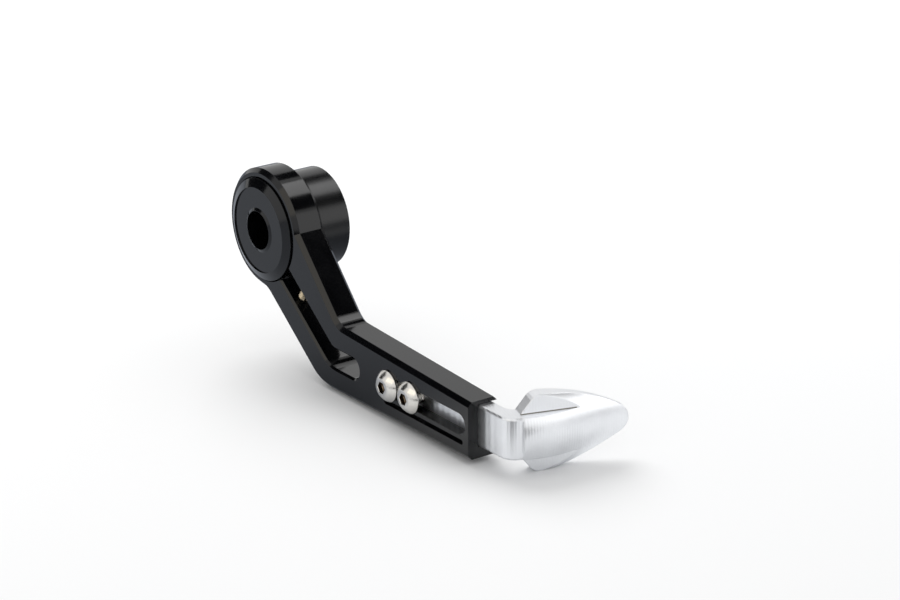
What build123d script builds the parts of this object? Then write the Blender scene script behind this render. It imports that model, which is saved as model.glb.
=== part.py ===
from build123d import *
import os
from math import cos, radians, sin

# Brake lever guard. The origin is the centre of the bush's rear face, which seats on the end of
# the handlebar. +Y runs into the bar, +X along the arm towards the blade, +Z up.
# Driving dimensions are in millimetres and degrees, and profile points are (X, Z) from the hub axis.

# Bush: the turned sleeve that the bar-end bolt holds
bush_radius = 14.6
sleeve_length = 10.75
sleeve_bevel = 0.25
flange_step = 0.5
flange_seat = 3.0
flange_proud = 0.5
rim_width = 2.5
rim_rise = 1.2
dish_depth = 0.4
lip_width = 0.9
head_recess_radius = 5.7
head_recess_depth = 8.0
bolt_hole_radius = 3.25

# Arm: one machined piece, a split ring, a forked neck and a channelled box
arm_thickness = 9.7
edge_bevel = 1.25
groove_width = 0.4
ring_land = 1.1
neck_angle = 37.6
shoulder_angle = 47.3
hub_blend = 7.0
bend_outer_x = 27.9
bend_outer_z = -38.7
bend_inner_x = 37.4
bend_inner_z = -18.15
bend_outer_radius = 14.0
bend_inner_radius = 7.0
arm_end = 99.3
end_top = -20.95
end_bottom = -37.6
axis_height = -28.2

# Split: the slot that lets the ring close, from the bore round the bend
split_width = 6.0
split_bend_x = 33.8
split_height = -28.6
split_bend_radius = 7.0
split_end = 44.7
split_bevel = 0.6

# Adjusting slot in the box's front wall, with a narrow groove below it
front_wall = 3.2
slot_width = 6.1
slot_start = 62.0
slot_end = 94.9
lower_groove_drop = 5.0
lower_groove_length = 36.8
lower_groove_width = 1.4
lower_groove_depth = 1.2

# Clamp screw across the split, M4 socket head
clamp_distance = 21.5
clamp_radius = 2.0
clamp_length = 14.0
clamp_head_radius = 3.5
clamp_head_height = 4.0
clamp_hex = 3.0
clamp_hex_depth = 2.0
clamp_seat_depth = 4.2

# Blade: tongue, bend and domed leaf, milled from one bar
tongue_start = 53.0
tongue_height = 12.0
tongue_thickness = 5.0
tongue_bevel = 0.5
blade_corner = 113.7
blade_bend_radius = 5.0
blade_inner_radius = 4.0
neck_heading = 87.0
neck_reach = 12.0
leaf_heading = 72.3
leaf_foot_x = 107.0
leaf_foot_depth = 7.97
leaf_root = 1.6
shoulder_reach = 5.7
shoulder_height = 11.15
middle_reach = 19.0
middle_height = 9.1
nose_reach = 31.0
nose_height = 4.1
leaf_length = 33.5
leaf_corner_radius = 4.0
fin_thickness = 4.15
dome_radius = 14.2
crown_root = 7.2
crown_peak_reach = 7.0
crown_peak = 8.2
crown_middle = 5.3
crown_length = 34.5
crown_tip = 1.2

# Blade screws, M5 button head
screw_radius = 2.5
screw_length = 8.0
screw_pitch = 10.3
screw_head_radius = 4.6
screw_head_height = 2.3
screw_head_edge = 0.4
screw_dome_radius = 5.7
screw_crown_radius = 2.5
screw_hex = 3.0
screw_hex_depth = 1.6

# Clearances
running_gap = 0.05
slide_gap = 0.1
thread_gap = 0.02
hole_gap = 0.25

os.makedirs("parts", exist_ok=True)

# Sizes that follow from the ones above
flange_radius = bush_radius + flange_step
counterbore_radius = flange_radius + groove_width
hub_radius = counterbore_radius + ring_land + edge_bevel
bend_outer = Vector(bend_outer_x, bend_outer_z)
bend_inner = Vector(bend_inner_x, bend_inner_z)
split_bend = Vector(split_bend_x, split_height)

# Planes: the arm's two faces look along the hub axis, and sketches on them are in (X, Z)
arm_back = Plane.XZ.offset(sleeve_length)
arm_front = arm_back.offset(arm_thickness)
front_y = arm_front.origin.Y
down_neck = Vector(cos(radians(neck_angle)), -sin(radians(neck_angle)))
down_shoulder = Vector(cos(radians(shoulder_angle)), -sin(radians(shoulder_angle)))


def beside_hub(point, direction):
    """The place on an edge through the point that lies nearest to the hub axis."""
    return point - direction * point.dot(direction)


# Bush
with BuildPart() as bush:
    rim_y = front_y - flange_proud
    crest_y = rim_y - rim_rise
    dish_y = crest_y + dish_depth
    seat_y = front_y + flange_seat
    crest_radius = flange_radius - rim_width
    with BuildSketch(Plane.XY):
        with BuildLine():
            Polyline(
                (bolt_hole_radius, 0),
                (bush_radius - sleeve_bevel, 0),
                (bush_radius, -sleeve_bevel),
                (bush_radius, seat_y),
                (flange_radius, seat_y),
                (flange_radius, rim_y),
                (crest_radius, crest_y),
                (crest_radius, dish_y),
                (head_recess_radius + lip_width, dish_y),
                (head_recess_radius, crest_y),
                (head_recess_radius, crest_y + head_recess_depth),
                (bolt_hole_radius, crest_y + head_recess_depth),
                close=True,
            )
        make_face()
    revolve(axis=Axis.Y)
bush.part.label = "bush"

# Arm
clamp_centre = beside_hub(split_bend, down_neck) + down_neck * clamp_distance
clamp_axis = Vector(down_neck.Y, 0, -down_neck.X)
clamp_y = front_y + arm_thickness / 2
clamp_middle = Plane(
    origin=(clamp_centre.X, clamp_y, clamp_centre.Y), x_dir=(0, 1, 0), z_dir=clamp_axis
)
leg_outside = bend_outer.dot(Vector(clamp_axis.X, clamp_axis.Z)) - clamp_centre.dot(
    Vector(clamp_axis.X, clamp_axis.Z)
)
clamp_seat = clamp_middle.offset(leg_outside - clamp_seat_depth)

with BuildPart() as arm:
    with BuildSketch(arm_back) as outline:
        with BuildLine():
            Polyline(
                beside_hub(bend_outer, down_neck),
                bend_outer,
                (arm_end, end_bottom),
                (arm_end, end_top),
                bend_inner,
                beside_hub(bend_inner, down_shoulder),
                close=True,
            )
        make_face()
        fillet(outline.vertices().sort_by_distance(bend_outer)[0], bend_outer_radius)
        fillet(outline.vertices().sort_by_distance(bend_inner)[0], bend_inner_radius)
        Circle(hub_radius)
        armpit = outline.vertices().filter_by(lambda v: v.Y < 0).sort_by(Axis.X)[0]
        fillet(armpit, hub_blend)
    extrude(amount=arm_thickness)
    rims = arm.faces().filter_by(Axis.Y).edges()
    chamfer(rims.filter_by(lambda e: (e @ 0.5).X < arm_end - edge_bevel), edge_bevel)

    # Ring bore, with a counterbore for the bush's flange
    with BuildSketch(arm_front):
        Circle(bush_radius + running_gap)
    extrude(amount=-arm_thickness, mode=Mode.SUBTRACT)
    with BuildSketch(arm_front):
        Circle(counterbore_radius)
    extrude(amount=-(flange_seat + running_gap), mode=Mode.SUBTRACT)

    # Split from the bore round the bend, with bevelled edges in front
    with BuildSketch(arm_front) as split:
        with BuildLine():
            FilletPolyline(
                beside_hub(split_bend, down_neck),
                split_bend,
                (split_end, split_height),
                radius=split_bend_radius,
            )
        trace(line_width=split_width)
        with Locations((split_end, split_height)):
            Circle(split_width / 2)
    extrude(amount=-arm_thickness, mode=Mode.SUBTRACT)
    front_edges = arm.faces().sort_by(Axis.Y)[0].inner_wires().edges()
    chamfer(front_edges.filter_by(lambda e: (e @ 0.5).X > flange_radius), split_bevel)

    # Channel for the tongue, open at the back and at the end
    with BuildSketch(arm_back):
        with Locations((tongue_start - slide_gap, axis_height)):
            Rectangle(
                arm_end - tongue_start + 2 * slide_gap,
                tongue_height + 2 * slide_gap,
                align=(Align.MIN, Align.CENTER),
            )
    extrude(amount=arm_thickness - front_wall, mode=Mode.SUBTRACT)

    # Adjusting slot and the groove below it
    with BuildSketch(arm_front):
        with Locations(((slot_start + slot_end) / 2, axis_height)):
            SlotCenterToCenter(slot_end - slot_start, slot_width)
    extrude(amount=-front_wall, mode=Mode.SUBTRACT)
    with BuildSketch(arm_front):
        with Locations(((slot_start + slot_end) / 2, axis_height - lower_groove_drop)):
            SlotOverall(lower_groove_length, lower_groove_width)
    extrude(amount=-lower_groove_depth, mode=Mode.SUBTRACT)

    # Clamp screw's hole: clear and counterbored in the lower leg, tapped in the upper leg
    with BuildSketch(clamp_middle):
        Circle(clamp_radius + hole_gap)
    extrude(amount=leg_outside, mode=Mode.SUBTRACT)
    with BuildSketch(clamp_seat):
        Circle(clamp_head_radius + hole_gap)
    extrude(amount=clamp_seat_depth, mode=Mode.SUBTRACT)
    with BuildSketch(clamp_seat):
        Circle(clamp_radius + thread_gap)
    extrude(amount=-(clamp_length + hole_gap), mode=Mode.SUBTRACT)
arm.part.label = "arm"

# Clamp screw
with BuildPart() as clamp_screw:
    with BuildSketch(clamp_seat):
        Circle(clamp_radius)
    extrude(amount=-clamp_length)
    with BuildSketch(clamp_seat):
        Circle(clamp_head_radius)
    extrude(amount=clamp_head_height)
    with BuildSketch(clamp_seat.offset(clamp_head_height)):
        RegularPolygon(clamp_hex / 2, 6, major_radius=False)
    extrude(amount=-clamp_hex_depth, mode=Mode.SUBTRACT)
clamp_screw.part.label = "clamp_screw"

# Blade: its strip first, then the leaf that the strip runs into
tongue_front = front_y + front_wall + slide_gap / 2
tongue_back = tongue_front + tongue_thickness
along_leaf = Vector(cos(radians(leaf_heading)), sin(radians(leaf_heading)))
along_neck = Vector(cos(radians(neck_heading)), sin(radians(neck_heading)))
foot = Vector(leaf_foot_x, front_y + leaf_foot_depth)
leaf_plane = Plane(
    origin=(foot.X, foot.Y, axis_height),
    x_dir=along_leaf,
    z_dir=(along_leaf.Y, -along_leaf.X, 0),
)
screw_places = (slot_start, slot_start + screw_pitch)

with BuildPart() as strip:
    with BuildSketch(Plane.XY.offset(axis_height)) as bent_strip:
        outer_corner = Vector(blade_corner, tongue_front)
        inner_corner = foot + along_leaf * ((tongue_back - foot.Y) / along_leaf.Y)
        with BuildLine():
            Polyline(
                (tongue_start, tongue_front),
                outer_corner,
                outer_corner + along_neck * neck_reach,
                foot + along_leaf * neck_reach,
                inner_corner,
                (tongue_start, tongue_back),
                close=True,
            )
        make_face()
        fillet(bent_strip.vertices().sort_by_distance(outer_corner)[0], blade_bend_radius)
        fillet(bent_strip.vertices().sort_by_distance(inner_corner)[0], blade_inner_radius)
    extrude(amount=tongue_height / 2, both=True)
    chamfer(strip.faces().filter_by(Axis.Z).edges(), tongue_bevel)

with BuildPart() as blade:
    # Domed leaf: its outline, cut to a barrel that thins towards the tip
    with BuildSketch(leaf_plane) as leaf:
        with BuildLine():
            Polyline((leaf_root, 0), (leaf_root, tongue_height / 2), (shoulder_reach, shoulder_height))
            ThreePointArc(
                (shoulder_reach, shoulder_height),
                (middle_reach, middle_height),
                (nose_reach, nose_height),
            )
            mirror(about=Plane.XZ)
            ThreePointArc(
                (nose_reach, nose_height), (leaf_length, 0), (nose_reach, -nose_height)
            )
        make_face()
        corners = leaf.vertices().group_by(Axis.Y)
        fillet([corners[0], corners[-1]], leaf_corner_radius)
    extrude(amount=dome_radius)
    barrel_start = leaf_plane.from_local_coords(Vector(0, 0, crown_root - dome_radius))
    barrel_end = leaf_plane.from_local_coords(Vector(crown_length, 0, crown_tip - dome_radius))
    with BuildSketch(Plane(leaf_plane.origin, leaf_plane.x_dir, -leaf_plane.y_dir)):
        with BuildLine():
            Spline(
                (0, crown_root),
                (crown_peak_reach, crown_peak),
                (middle_reach, crown_middle),
                (crown_length, crown_tip),
            )
            Polyline(
                (crown_length, crown_tip),
                (crown_length, crown_tip - dome_radius),
                (0, crown_root - dome_radius),
                (0, crown_root),
            )
        make_face()
    revolve(axis=Axis(barrel_start, barrel_end - barrel_start), mode=Mode.INTERSECT)

    # Flat fins above and below the rib
    with BuildSketch(leaf_plane.offset(fin_thickness)):
        with Locations((0, tongue_height / 2), (0, -tongue_height / 2 - shoulder_height)):
            Rectangle(leaf_length, shoulder_height, align=(Align.MIN, Align.MIN))
    extrude(amount=dome_radius, mode=Mode.SUBTRACT)

    # Tongue and bend, with the neck sunk into the dome
    add(strip.part)

    # Tapped holes
    with BuildSketch(Plane.XZ.offset(-tongue_front)):
        with Locations(*[(x, axis_height) for x in screw_places]):
            Circle(screw_radius + thread_gap)
    extrude(amount=-tongue_thickness, mode=Mode.SUBTRACT)
blade.part.label = "blade"

# Blade screws: one screw along -Y from its head's seat, placed twice
with BuildPart() as screw:
    with BuildSketch(Plane.XY):
        with BuildLine():
            Line((0, screw_length), (screw_radius, screw_length))
            Line((screw_radius, screw_length), (screw_radius, 0))
            Line((screw_radius, 0), (screw_head_radius, 0))
            Line((screw_head_radius, 0), (screw_head_radius, -screw_head_edge))
            RadiusArc(
                (screw_head_radius, -screw_head_edge),
                (screw_crown_radius, -screw_head_height),
                screw_dome_radius,
            )
            Line((screw_crown_radius, -screw_head_height), (0, -screw_head_height))
            Line((0, -screw_head_height), (0, screw_length))
        make_face()
    revolve(axis=Axis.Y)
    with BuildSketch(Plane.XZ.offset(screw_head_height)):
        RegularPolygon(screw_hex / 2, 6, major_radius=False)
    extrude(amount=-screw_hex_depth, mode=Mode.SUBTRACT)

with BuildPart() as blade_screws:
    with Locations(*[(x, front_y - running_gap, axis_height) for x in screw_places]):
        add(screw.part)
blade_screws.part.label = "blade_screws"

for piece in (bush, arm, clamp_screw, blade, blade_screws):
    export_step(piece.part, f"parts/{piece.part.label}.step")
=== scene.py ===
import math

import bmesh
import bpy
from mathutils import Matrix, Vector


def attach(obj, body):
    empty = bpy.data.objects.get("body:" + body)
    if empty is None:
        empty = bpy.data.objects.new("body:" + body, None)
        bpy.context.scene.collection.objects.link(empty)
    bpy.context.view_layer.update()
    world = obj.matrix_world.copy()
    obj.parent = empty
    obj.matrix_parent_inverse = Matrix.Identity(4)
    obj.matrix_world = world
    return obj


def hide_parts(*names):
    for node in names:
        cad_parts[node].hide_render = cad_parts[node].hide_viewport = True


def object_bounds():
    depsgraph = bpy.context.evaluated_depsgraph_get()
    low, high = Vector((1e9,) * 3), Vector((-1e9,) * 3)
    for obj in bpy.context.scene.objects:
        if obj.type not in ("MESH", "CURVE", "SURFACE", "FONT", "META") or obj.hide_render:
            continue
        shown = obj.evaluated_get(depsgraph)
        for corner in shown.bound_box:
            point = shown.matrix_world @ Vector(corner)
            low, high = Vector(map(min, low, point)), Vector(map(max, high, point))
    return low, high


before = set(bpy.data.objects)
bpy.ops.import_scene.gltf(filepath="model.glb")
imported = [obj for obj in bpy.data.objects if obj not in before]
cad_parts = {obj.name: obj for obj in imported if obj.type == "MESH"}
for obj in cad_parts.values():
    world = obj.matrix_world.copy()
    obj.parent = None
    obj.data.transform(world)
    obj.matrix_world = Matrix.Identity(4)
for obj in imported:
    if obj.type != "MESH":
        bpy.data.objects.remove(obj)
cad_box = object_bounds()
MM = 0.001

# Camera, fitted to the photograph
CAMERA_PLACE = Vector((0.7328, -0.48445, 0.3083))
CAMERA_AZIMUTH = math.radians(54.1153)
CAMERA_ELEVATION = math.radians(20.8912)
CAMERA_ROLL = math.radians(0.3623)
CAMERA_LENS = 128.0
SENSOR_WIDTH = 36.0


def add_camera():
    data = bpy.data.cameras.new("camera")
    data.lens = CAMERA_LENS
    data.sensor_width = SENSOR_WIDTH
    data.sensor_fit = "HORIZONTAL"
    camera = bpy.data.objects.new("camera", data)
    turn = Matrix.Rotation(CAMERA_AZIMUTH, 4, "Z")
    tilt = Matrix.Rotation(math.pi / 2 - CAMERA_ELEVATION, 4, "X")
    roll = Matrix.Rotation(-CAMERA_ROLL, 4, "Z")
    camera.matrix_world = Matrix.Translation(CAMERA_PLACE) @ turn @ tilt @ roll
    bpy.context.scene.collection.objects.link(camera)
    bpy.context.scene.camera = camera


# Most of a noise lies between these two values
NOISE_LOW = 0.3
NOISE_HIGH = 0.7
# Period of a wave texture at a scale of 1
WAVE_PERIOD = math.pi / 10
BEVEL_SAMPLES = 4


class Nodes:
    """Short calls to add and link the nodes of a material or a world."""

    def __init__(self, owner, keep_shader=True):
        owner.use_nodes = True
        self.owner = owner
        self.tree = owner.node_tree
        if keep_shader:
            self.shader = self.tree.nodes["Principled BSDF"]
        else:
            self.tree.nodes.clear()

    def put(self, socket, value):
        """Links a socket to another one, or sets it to a number or a colour."""
        if isinstance(value, bpy.types.NodeSocket):
            self.tree.links.new(value, socket)
        elif socket.type == "RGBA":
            socket.default_value = (*value, 1)
        else:
            socket.default_value = value

    def add(self, kind, inputs=None, **settings):
        node = self.tree.nodes.new(kind)
        for key, value in settings.items():
            setattr(node, key, value)
        for key, value in (inputs or {}).items():
            self.put(node.inputs[key], value)
        return node

    def millimetres(self, turn=0.0, stretch=(1, 1, 1)):
        """The row frame's place in millimetres, turned about Z and then stretched."""
        place = self.add("ShaderNodeTexCoord").outputs["Object"]
        turned = self.add("ShaderNodeVectorRotate", {"Vector": place, "Angle": -turn}, rotation_type="Z_AXIS")
        scale = [s / MM for s in stretch]
        return self.add("ShaderNodeMapping", {"Vector": turned.outputs[0], "Scale": scale}).outputs[0]

    def axes(self, place):
        return self.add("ShaderNodeSeparateXYZ", {"Vector": place}).outputs

    def noise(self, place, scale, detail=3.0, roughness=0.55):
        inputs = {"Vector": place, "Scale": scale, "Detail": detail, "Roughness": roughness}
        return self.add("ShaderNodeTexNoise", inputs).outputs["Fac"]

    def waves(self, place, pitch, wander, **settings):
        inputs = {"Vector": place, "Scale": WAVE_PERIOD / pitch, "Distortion": wander, "Detail": 1.0}
        return self.add("ShaderNodeTexWave", inputs, **settings).outputs["Fac"]

    def ranged(self, value, start, end, low=0.0, high=1.0):
        """A value that runs from low to high as another one runs from start to end."""
        inputs = {"Value": value, "From Min": start, "From Max": end, "To Min": low, "To Max": high}
        return self.add("ShaderNodeMapRange", inputs).outputs[0]

    def spread(self, noise, low, high):
        return self.ranged(noise, NOISE_LOW, NOISE_HIGH, low, high)

    def shades(self, noise, dark, light):
        ramp = self.add("ShaderNodeValToRGB", {"Fac": noise})
        first, last = ramp.color_ramp.elements
        first.position = NOISE_LOW
        first.color = (*dark, 1)
        last.position = NOISE_HIGH
        last.color = (*light, 1)
        return ramp.outputs["Color"]

    def mixed(self, factor, first, second):
        """One of two colours, or a blend of them."""
        node = self.add("ShaderNodeMix", {"Factor": factor}, data_type="RGBA")
        sockets = [s for s in node.inputs if s.type == "RGBA"]
        self.put(sockets[0], first)
        self.put(sockets[1], second)
        return next(s for s in node.outputs if s.type == "RGBA")

    def math(self, operation, first, second=0.0):
        return self.add("ShaderNodeMath", {0: first, 1: second}, operation=operation).outputs[0]

    def distance(self, value, from_value):
        return self.math("ABSOLUTE", self.math("SUBTRACT", value, from_value))

    def soft_edges(self, radius):
        return self.add("ShaderNodeBevel", {"Radius": radius * MM}, samples=BEVEL_SAMPLES).outputs["Normal"]

    def relief(self, height, depth, normal):
        """A bump over a normal, whose full height is a depth in millimetres."""
        inputs = {"Height": height, "Strength": 1.0, "Distance": depth * MM, "Normal": normal}
        return self.add("ShaderNodeBump", inputs).outputs["Normal"]

    def finish(self, **links):
        for key, value in links.items():
            self.put(self.shader.inputs[key.replace("_", " ")], value)
        return self.owner


# Places in millimetres, as in the model's source
SLEEVE_LENGTH = 10.75
ARM_THICKNESS = 9.7
FRONT = -(SLEEVE_LENGTH + ARM_THICKNESS)
AXIS_HEIGHT = -28.2

# Black anodised aluminium, lengths in millimetres
BLACK_TONES = ((0.0012, 0.0013, 0.0017), (0.0024, 0.0026, 0.0033))
BLACK_ROUGHNESS = (0.09, 0.15)
BLACK_EDGE = 0.12
BLACK_CLOUD_SCALE = 0.09
BLACK_GRAIN_SCALE = 9.0
BLACK_GRAIN_DEPTH = 0.0012
CUTTER_STRETCH = (0.25, 5, 5)
CUTTER_DEPTH = 0.0010
TURNING_PITCH = 0.2856
TURNING_DEPTH = 0.0006
TURNING_WANDER = 0.4
SLEEVE_FADE = 1.5
SLEEVE_ROUGHNESS = 0.11
ARM_GLOSS = 0.36
BUSH_GLOSS = 0.40


def black_anodised(name, gloss, turned=False):
    """Gloss black anodise over machined aluminium: fine cutter marks, faint cloudiness and soft edges."""
    n = Nodes(bpy.data.materials.new(name))
    n.shader.inputs["Specular IOR Level"].default_value = gloss
    place = n.millimetres()
    cloud = n.noise(place, BLACK_CLOUD_SCALE)
    grain = n.noise(place, BLACK_GRAIN_SCALE, detail=2.0)
    normal = n.relief(grain, BLACK_GRAIN_DEPTH, n.soft_edges(BLACK_EDGE))
    roughness = n.spread(cloud, *BLACK_ROUGHNESS)
    if turned:
        rings = n.waves(place, TURNING_PITCH, TURNING_WANDER, wave_type="RINGS", rings_direction="Y")
        normal = n.relief(rings, TURNING_DEPTH, normal)
        depth = n.axes(place)["Y"]
        start = -SLEEVE_LENGTH - SLEEVE_FADE / 2
        coarser = n.ranged(depth, start, start + SLEEVE_FADE, high=SLEEVE_ROUGHNESS)
        roughness = n.math("ADD", roughness, coarser)
    else:
        long_marks = n.noise(n.millimetres(stretch=CUTTER_STRETCH), 1.0, detail=2.0)
        normal = n.relief(long_marks, CUTTER_DEPTH, normal)
    return n.finish(Base_Color=n.shades(cloud, *BLACK_TONES), Roughness=roughness, Normal=normal)


# The blade's leaf, in millimetres along, across and above it
LEAF_HEADING = math.radians(72.3)
LEAF_REACH = 107.0
LEAF_SETBACK = 7.97
LEAF_FOOT = Vector((LEAF_REACH, FRONT + LEAF_SETBACK))
LEAF_ALONG = Vector((math.cos(LEAF_HEADING), math.sin(LEAF_HEADING)))
LEAF_ACROSS = Vector((-LEAF_ALONG.y, LEAF_ALONG.x))
FIN_THICKNESS = 4.15
FIN_FACE = LEAF_FOOT.dot(LEAF_ACROSS) - FIN_THICKNESS
RIB_HALF_HEIGHT = 6.0
# Painted shade, a dark tone in the corner between the rib and the fins
CREASE_WIDTH = 0.3
CREASE_START = 1.9
CREASE_LENGTH = 15.5
CREASE_MIDDLE = LEAF_FOOT.dot(LEAF_ALONG) + CREASE_START + CREASE_LENGTH / 2
CREASE_SHADE_TONE = (0.25, 0.24, 0.21)

# Silver aluminium, lengths in millimetres
SILVER_TONES = ((0.75, 0.76, 0.78), (0.81, 0.82, 0.84))
SILVER_ROUGHNESS = (0.285, 0.345)
SILVER_EDGE = 0.5
SILVER_CLOUD_SCALE = 0.12
SILVER_GRAIN_STRETCH = (6, 6, 0.5)
SILVER_GRAIN_DEPTH = 0.0022
SCALLOP_PITCH = 0.8
SCALLOP_DEPTH = 0.028
SCALLOP_WANDER = 0.25


def crease_shade(n, along):
    """Mask of the painted shade: 1 in the corner between the blade's rib and its fins, fading to 0 at a short
    distance.
    """
    axes = n.axes(along)
    above = n.distance(n.distance(axes["Z"], AXIS_HEIGHT), RIB_HALF_HEIGHT)
    apart = n.distance(axes["Y"], FIN_FACE)
    past_end = n.math("SUBTRACT", n.distance(axes["X"], CREASE_MIDDLE), CREASE_LENGTH / 2)
    nearest = n.math("MAXIMUM", n.math("MAXIMUM", above, apart), past_end)
    return n.ranged(nearest, CREASE_WIDTH, CREASE_WIDTH / 2)


def silver_aluminium(name):
    """Clear anodised aluminium: cutter scallops across the blade's length, a fine satin grain, and painted
    shade in the corner between the rib and the fins.
    """
    n = Nodes(bpy.data.materials.new(name))
    n.shader.inputs["Metallic"].default_value = 1.0
    along = n.millimetres(turn=LEAF_HEADING)
    scallops = n.waves(along, SCALLOP_PITCH, SCALLOP_WANDER, wave_type="BANDS", bands_direction="X")
    grain = n.noise(n.millimetres(turn=LEAF_HEADING, stretch=SILVER_GRAIN_STRETCH), 1.0, detail=2.0)
    cloud = n.noise(n.millimetres(), SILVER_CLOUD_SCALE)
    normal = n.relief(grain, SILVER_GRAIN_DEPTH, n.soft_edges(SILVER_EDGE))
    normal = n.relief(scallops, SCALLOP_DEPTH, normal)
    # Painted shade: the silver turns to a dark tone in the corner between the rib and the fins
    base = n.mixed(crease_shade(n, along), n.shades(cloud, *SILVER_TONES), CREASE_SHADE_TONE)
    return n.finish(Base_Color=base, Roughness=n.spread(cloud, *SILVER_ROUGHNESS), Normal=normal)


# Stainless steel, lengths in millimetres
BARE_TONES = ((0.60, 0.58, 0.545), (0.72, 0.70, 0.665))
# Painted shade: the hex sockets' steel is darker and browner than the bare heads
SOCKET_SHADE_TONES = ((0.10, 0.075, 0.05), (0.19, 0.145, 0.10))
CLAMP_TONES = ((0.30, 0.25, 0.17), (0.46, 0.40, 0.30))
STEEL_ROUGHNESS = (0.17, 0.27)
STEEL_EDGE = 0.08
STEEL_CLOUD_SCALE = 0.6
STEEL_MARK_STRETCH = (1, 8, 1)
STEEL_MARK_SCALE = 1.4
STEEL_MARK_DEPTH = 0.0012


def stainless(name, tones):
    """Stainless steel in one of its tones, with faint turning marks and smears."""
    n = Nodes(bpy.data.materials.new(name))
    n.shader.inputs["Metallic"].default_value = 1.0
    cloud = n.noise(n.millimetres(), STEEL_CLOUD_SCALE)
    marks = n.noise(n.millimetres(stretch=STEEL_MARK_STRETCH), STEEL_MARK_SCALE, detail=2.0)
    normal = n.relief(marks, STEEL_MARK_DEPTH, n.soft_edges(STEEL_EDGE))
    roughness = n.spread(cloud, *STEEL_ROUGHNESS)
    return n.finish(Base_Color=n.shades(cloud, *tones), Roughness=roughness, Normal=normal)


# Screws with real threads, in place of the model's plain shanks
ROUND_STEPS = 72
DOME_STEPS = 8
THREAD_ROWS_PER_TURN = 6
THREAD_DEPTH_SHARE = 0.55
THREAD_ROOT_SHARE = 0.2
SHARP_ANGLE = math.radians(32)

# Hexagon sockets in millimetres, each with a lead, walls and a drilled, coned floor
HEX_KEY = 3.0
SOCKET_LEAD = 0.12
SOCKET_RINGS_BELOW_LEAD = 4
DRILL_SHARE = 0.42
DRILL_EDGE_DEPTH = 0.25
DRILL_POINT_DEPTH = 0.45
DRILL_POINT_RADIUS = 0.05


def turn_at(step):
    return 2 * math.pi * step / ROUND_STEPS


def ring(radius, height):
    turns = [turn_at(i) for i in range(ROUND_STEPS)]
    return [Vector((radius * math.cos(a), radius * math.sin(a), height)) for a in turns]


def hex_ring(across_flats, height):
    """A hexagon with as many points as a ring, so that the two can be bridged."""
    points = []
    for i in range(ROUND_STEPS):
        a = turn_at(i)
        from_flat = (a % (math.pi / 3)) - math.pi / 6
        r = across_flats / 2 / math.cos(from_flat)
        points.append(Vector((r * math.cos(a), r * math.sin(a), height)))
    return points


def thread_rings(radius, pitch, length):
    """Rings from a shank's chamfered tip up to its head, whose radius follows a helix."""
    rings = []
    depth = THREAD_DEPTH_SHARE * pitch
    rows = int(length / pitch * THREAD_ROWS_PER_TURN)
    for row in range(rows, 0, -1):
        height = -length * row / rows
        chamfer = min(depth, max(0, pitch - (length + height)))
        points = []
        for i in range(ROUND_STEPS):
            a = turn_at(i)
            from_root = abs((-height / pitch - i / ROUND_STEPS) % 1 - 0.5)
            groove = min(1, (1 - 2 * from_root) / (1 - THREAD_ROOT_SHARE))
            r = radius - max(depth * groove, chamfer)
            points.append(Vector((r * math.cos(a), r * math.sin(a), height)))
        rings.append(points)
    return rings


def dome_rings(head_radius, edge, crown_radius, top, dome_radius):
    """Rings of a button head's dome, an arc of a radius from its edge to its crown."""
    low = Vector((head_radius, edge))
    high = Vector((crown_radius, top))
    chord = high - low
    rise = math.sqrt(dome_radius ** 2 - (chord.length / 2) ** 2)
    centre = (low + high) / 2 + Vector((-chord.y, chord.x)).normalized() * rise
    start = math.atan2(low.y - centre.y, low.x - centre.x)
    end = math.atan2(high.y - centre.y, high.x - centre.x)
    angles = [start + (end - start) * i / DOME_STEPS for i in range(DOME_STEPS + 1)]
    return [ring(centre.x + dome_radius * math.cos(a), centre.y + dome_radius * math.sin(a)) for a in angles]


def socket_rings(top, depth):
    """Rings of a hexagon socket, from its lead down to the point of its drilled floor."""
    floor = top - depth
    lead = hex_ring(HEX_KEY + 2 * SOCKET_LEAD, top)
    walls = [hex_ring(HEX_KEY, top - SOCKET_LEAD), hex_ring(HEX_KEY, floor)]
    drill_edge = ring(HEX_KEY * DRILL_SHARE, floor - DRILL_EDGE_DEPTH)
    drill_point = ring(DRILL_POINT_RADIUS, floor - DRILL_POINT_DEPTH)
    return [lead, *walls, drill_edge, drill_point]


def add_rings(mesh, rings, place):
    """Bridges rings one to the next in a bmesh, and closes both ends. The last ones are a socket's, whose
    faces take the second material, the socket's painted shade.
    """
    rows = [[mesh.verts.new(place @ (p * MM)) for p in points] for points in rings]
    socket_start = len(rows) - SOCKET_RINGS_BELOW_LEAD
    for row in range(len(rows) - 1):
        for i in range(ROUND_STEPS):
            j = (i + 1) % ROUND_STEPS
            face = mesh.faces.new((rows[row][i], rows[row][j], rows[row + 1][j], rows[row + 1][i]))
            face.material_index = int(row >= socket_start)
    mesh.faces.new(list(reversed(rows[0])))
    mesh.faces.new(rows[-1]).material_index = 1


def finish_piece(name, mesh, materials):
    bmesh.ops.recalc_face_normals(mesh, faces=mesh.faces)
    data = bpy.data.meshes.new(name)
    mesh.to_mesh(data)
    mesh.free()
    data.polygons.foreach_set("use_smooth", [True] * len(data.polygons))
    data.set_sharp_from_angle(angle=SHARP_ANGLE)
    for material in materials:
        data.materials.append(material)
    piece = bpy.data.objects.new(name, data)
    bpy.context.scene.collection.objects.link(piece)
    return piece


# The blade's M5 button-head screws in millimetres, as in the model's source
SLOT_START = 62.0
SCREW_PITCH = 10.3
SEAT_GAP = 0.05
SCREW_RADIUS = 2.5
SCREW_LENGTH = 8.0
SCREW_THREAD_PITCH = 0.8
BUTTON_RADIUS = 4.6
BUTTON_EDGE = 0.4
BUTTON_HEIGHT = 2.3
BUTTON_CROWN_RADIUS = 2.5
BUTTON_DOME_RADIUS = 5.7
BUTTON_SOCKET_DEPTH = 1.35


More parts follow.
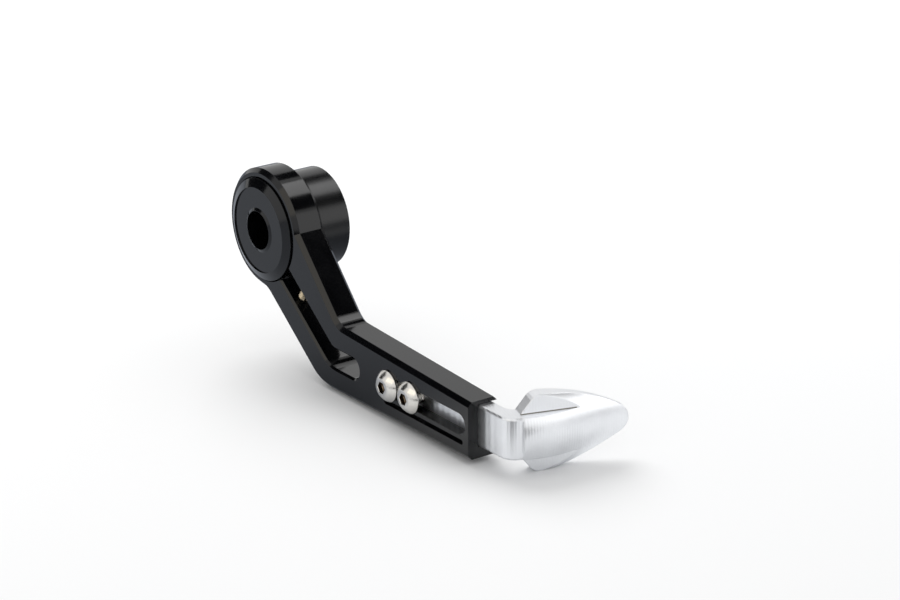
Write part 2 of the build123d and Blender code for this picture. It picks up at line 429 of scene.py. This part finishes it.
def add_blade_screws(*materials):
    mesh = bmesh.new()
    shank = thread_rings(SCREW_RADIUS, SCREW_THREAD_PITCH, SCREW_LENGTH)
    under_head = [ring(SCREW_RADIUS, 0), ring(BUTTON_RADIUS, 0)]
    dome = dome_rings(BUTTON_RADIUS, BUTTON_EDGE, BUTTON_CROWN_RADIUS, BUTTON_HEIGHT, BUTTON_DOME_RADIUS)
    rings = shank + under_head + dome + socket_rings(BUTTON_HEIGHT, BUTTON_SOCKET_DEPTH)
    for x in (SLOT_START, SLOT_START + SCREW_PITCH):
        seat = Matrix.Translation(Vector((x, FRONT - SEAT_GAP, AXIS_HEIGHT)) * MM)
        add_rings(mesh, rings, seat @ Matrix.Rotation(math.pi / 2, 4, "X"))
    piece = finish_piece("threaded_blade_screws", mesh, materials)
    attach(piece, "slider")
    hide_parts("blade_screws")


# The ring's M4 clamp screw in millimetres, as in the model's source
NECK = math.radians(37.6)
SPLIT_BEND = Vector((33.8, -28.6))
BEND_OUTER = Vector((27.9, -38.7))
CLAMP_DISTANCE = 21.5
CLAMP_SEAT_DEPTH = 4.2
CLAMP_RADIUS = 2.0
CLAMP_LENGTH = 14.0
CLAMP_THREAD_PITCH = 0.7
CAP_RADIUS = 3.5
CAP_HEIGHT = 4.0
CAP_CHAMFER = 0.3
CAP_SOCKET_DEPTH = 1.75


def clamp_place():
    """The screw's place across the split, with Z out of the neck's lower leg."""
    down_neck = Vector((math.cos(NECK), -math.sin(NECK)))
    outward = Vector((down_neck.y, -down_neck.x))
    middle = SPLIT_BEND - down_neck * SPLIT_BEND.dot(down_neck) + down_neck * CLAMP_DISTANCE
    seat = middle + outward * ((BEND_OUTER - middle).dot(outward) - CLAMP_SEAT_DEPTH)
    axis = Vector((outward.x, 0, outward.y))
    place = Matrix.Translation(Vector((seat.x, FRONT + ARM_THICKNESS / 2, seat.y)) * MM)
    return place @ axis.to_track_quat("Z", "Y").to_matrix().to_4x4()


def add_clamp_screw(*materials):
    mesh = bmesh.new()
    shank = thread_rings(CLAMP_RADIUS, CLAMP_THREAD_PITCH, CLAMP_LENGTH)
    under_head = [ring(CLAMP_RADIUS, 0), ring(CAP_RADIUS, 0)]
    cap = [ring(CAP_RADIUS, CAP_HEIGHT - CAP_CHAMFER), ring(CAP_RADIUS - CAP_CHAMFER, CAP_HEIGHT)]
    rings = shank + under_head + cap + socket_rings(CAP_HEIGHT, CAP_SOCKET_DEPTH)
    add_rings(mesh, rings, clamp_place())
    piece = finish_piece("threaded_clamp_screw", mesh, materials)
    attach(piece, "swing_arm")
    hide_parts("clamp_screw")


# Studio: a white floor and surround, dark flags and bright boxes that only reflections see
MIDDLE = Vector((0.055, -0.012, -0.02))
CARD_DISTANCE = 1.2
DARK = 0.01
WHITE = (1, 1, 1)
WARM_WHITE = (1.0, 0.95, 0.86)
ALONG_X = (1, 0, 0)
ALONG_Y = (0, 1, 0)
SIDE_ALONG = (0.52, -0.85, 0)
HIGH_LEAN = 0.8
CREST_LEAN = 0.22
SQUARE = ((-1, -1), (1, -1), (1, 1), (-1, 1))


def glow_material(name, level, colour):
    n = Nodes(bpy.data.materials.new(name), keep_shader=False)
    glow = n.add("ShaderNodeEmission", {"Color": colour, "Strength": level})
    n.add("ShaderNodeOutputMaterial", {"Surface": glow.outputs[0]})
    return n.owner


def add_card(name, toward, along, length, width, level=DARK, colour=WHITE):
    """A flat card in a direction from the object, its length lying along another direction."""
    toward = Vector(toward).normalized()
    along = Vector(along)
    along = (along - toward * along.dot(toward)).normalized()
    across = toward.cross(along)
    centre = MIDDLE + toward * CARD_DISTANCE
    corners = [centre + along * (length * a / 2) + across * (width * b / 2) for a, b in SQUARE]
    data = bpy.data.meshes.new(name)
    data.from_pydata(corners, [], [range(len(corners))])
    data.materials.append(glow_material(name, level, colour))
    card = bpy.data.objects.new(name, data)
    bpy.context.scene.collection.objects.link(card)
    card.visible_camera = False
    card.visible_diffuse = False
    card.visible_shadow = False


def overhead(angle, back):
    """The direction at an angle from straight up towards the blade, leaning back from the camera."""
    a = math.radians(angle)
    return (math.sin(a), back, math.cos(a))


def add_cards():
    add_card("flag_thin", overhead(-31, HIGH_LEAN), ALONG_Y, length=0.9, width=0.33)
    add_card("box_top", overhead(2, HIGH_LEAN), ALONG_Y, length=0.9, width=0.56, level=3.6)
    add_card("flag_top", overhead(33, HIGH_LEAN), ALONG_Y, length=0.95, width=0.48)
    add_card("flag_crest", overhead(14, CREST_LEAN), ALONG_Y, length=0.5, width=0.7)
    add_card("box_back", overhead(70, HIGH_LEAN), ALONG_Y, length=1.0, width=0.66, level=1.7)
    add_card("flag_left", (-0.78, -0.48, 0.40), SIDE_ALONG, length=0.66, width=0.88)
    add_card("box_front", (0.2, -0.79, 0.57), ALONG_X, length=1.0, width=0.55, level=1.7, colour=WARM_WHITE)
    add_card("box_right", (0.9, -0.06, 0.40), ALONG_Y, length=1.0, width=0.8, level=1.4)


WORLD_SEEN = 1.0
WORLD_LIGHT = 0.76


def add_world():
    """A white surround: full white to the camera and in reflections, dimmer as a light."""
    world = bpy.data.worlds.new("world")
    n = Nodes(world, keep_shader=False)
    rays = n.add("ShaderNodeLightPath").outputs
    shown = n.math("MAXIMUM", rays["Is Camera Ray"], rays["Is Glossy Ray"])
    seen = n.add("ShaderNodeBackground", {"Color": WHITE, "Strength": WORLD_SEEN})
    lit = n.add("ShaderNodeBackground", {"Color": WHITE, "Strength": WORLD_LIGHT})
    mix = n.add("ShaderNodeMixShader", {0: shown, 1: lit.outputs[0], 2: seen.outputs[0]})
    n.add("ShaderNodeOutputWorld", {"Surface": mix.outputs[0]})
    bpy.context.scene.world = world


KEY_OFFSET = Vector((-0.95, 0.30, 1.05))
KEY_SIZE = 1.2
KEY_POWER = 12.5


def add_key():
    data = bpy.data.lights.new("key", "AREA")
    data.shape = "DISK"
    data.size = KEY_SIZE
    data.energy = KEY_POWER
    lamp = bpy.data.objects.new("key", data)
    lamp.location = MIDDLE + KEY_OFFSET
    lamp.rotation_euler = (-KEY_OFFSET).to_track_quat("-Z", "Y").to_euler()
    lamp.visible_glossy = False
    bpy.context.scene.collection.objects.link(lamp)


# The floor, and the painted reflection tones that only reflections see on it, each fading in between two
# places in metres
FLOOR_REACH = 4.0
FLOOR_ROUGHNESS = 0.9
FLOOR_TONES = ((0.885, 0.89, 0.895), (0.90, 0.90, 0.90))
MOTTLE_SCALE = 0.004
UNDER_ARM_TONE = (0.51, 0.54, 0.595)
UNDER_BLADE_TONE = (0.92, 0.93, 0.94)
UNDER_BLADE_X = (0.045, 0.075)
AHEAD_OF_BLADE_TONE = (0.04, 0.042, 0.045)
AHEAD_OF_BLADE_X = (0.119, 0.134)
AHEAD_OF_BLADE_Y = (-0.030, -0.043)
BEHIND_BLADE_TONE = (0.30, 0.31, 0.33)
BEHIND_BLADE_X = (0.108, 0.128)
BEHIND_BLADE_Y = (0.05, 0.12)
BEHIND_ARM_TONE = (0.25, 0.27, 0.31)
BEHIND_ARM_X = (0.10, 0.07)
BEHIND_ARM_Y = (0.0, 0.03)


def floor_material():
    """White with a faint mottle; in reflections only, painted reflection tones round the object, mostly
    painted shade.
    """
    n = Nodes(bpy.data.materials.new("floor"))
    n.shader.inputs["Roughness"].default_value = FLOOR_ROUGHNESS
    n.shader.inputs["Specular IOR Level"].default_value = 0.0
    white = n.shades(n.noise(n.millimetres(), MOTTLE_SCALE), *FLOOR_TONES)
    axes = n.axes(n.add("ShaderNodeNewGeometry").outputs["Position"])

    def corner(x_fade, y_fade):
        return n.math("MULTIPLY", n.ranged(axes["X"], *x_fade), n.ranged(axes["Y"], *y_fade))

    # Painted reflection: tones the floor shows only in reflections, mostly painted shade round the arm and
    # blade
    painted_reflection = n.mixed(n.ranged(axes["X"], *UNDER_BLADE_X), UNDER_ARM_TONE, UNDER_BLADE_TONE)
    painted_reflection = n.mixed(corner(AHEAD_OF_BLADE_X, AHEAD_OF_BLADE_Y), painted_reflection, AHEAD_OF_BLADE_TONE)
    painted_reflection = n.mixed(corner(BEHIND_BLADE_X, BEHIND_BLADE_Y), painted_reflection, BEHIND_BLADE_TONE)
    painted_reflection = n.mixed(corner(BEHIND_ARM_X, BEHIND_ARM_Y), painted_reflection, BEHIND_ARM_TONE)
    in_reflection = n.add("ShaderNodeLightPath").outputs["Is Glossy Ray"]
    return n.finish(Base_Color=n.mixed(in_reflection, white, painted_reflection))


def add_floor():
    """A white floor under the object that keeps its shadow."""
    low = cad_box[0][2]
    corners = [(x * FLOOR_REACH, y * FLOOR_REACH, low) for x, y in SQUARE]
    data = bpy.data.meshes.new("floor")
    data.from_pydata(corners, [], [range(len(corners))])
    data.materials.append(floor_material())
    floor = bpy.data.objects.new("floor", data)
    bpy.context.scene.collection.objects.link(floor)


def dress(node, material):
    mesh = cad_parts[node].data
    mesh.materials.clear()
    mesh.materials.append(material)


add_camera()
dress("bush", black_anodised("bush_anodise", BUSH_GLOSS, turned=True))
dress("arm", black_anodised("arm_anodise", ARM_GLOSS))
dress("blade", silver_aluminium("blade_silver"))
bare_steel = stainless("screw_steel", BARE_TONES)
# Painted shade inside the hex sockets
shaded_socket_steel = stainless("shaded_socket_steel", SOCKET_SHADE_TONES)
clamp_steel = stainless("clamp_steel", CLAMP_TONES)
add_blade_screws(bare_steel, shaded_socket_steel)
add_clamp_screw(clamp_steel, shaded_socket_steel)
add_cards()
add_world()
add_key()
add_floor()

bpy.context.scene.view_settings.view_transform = "Standard"
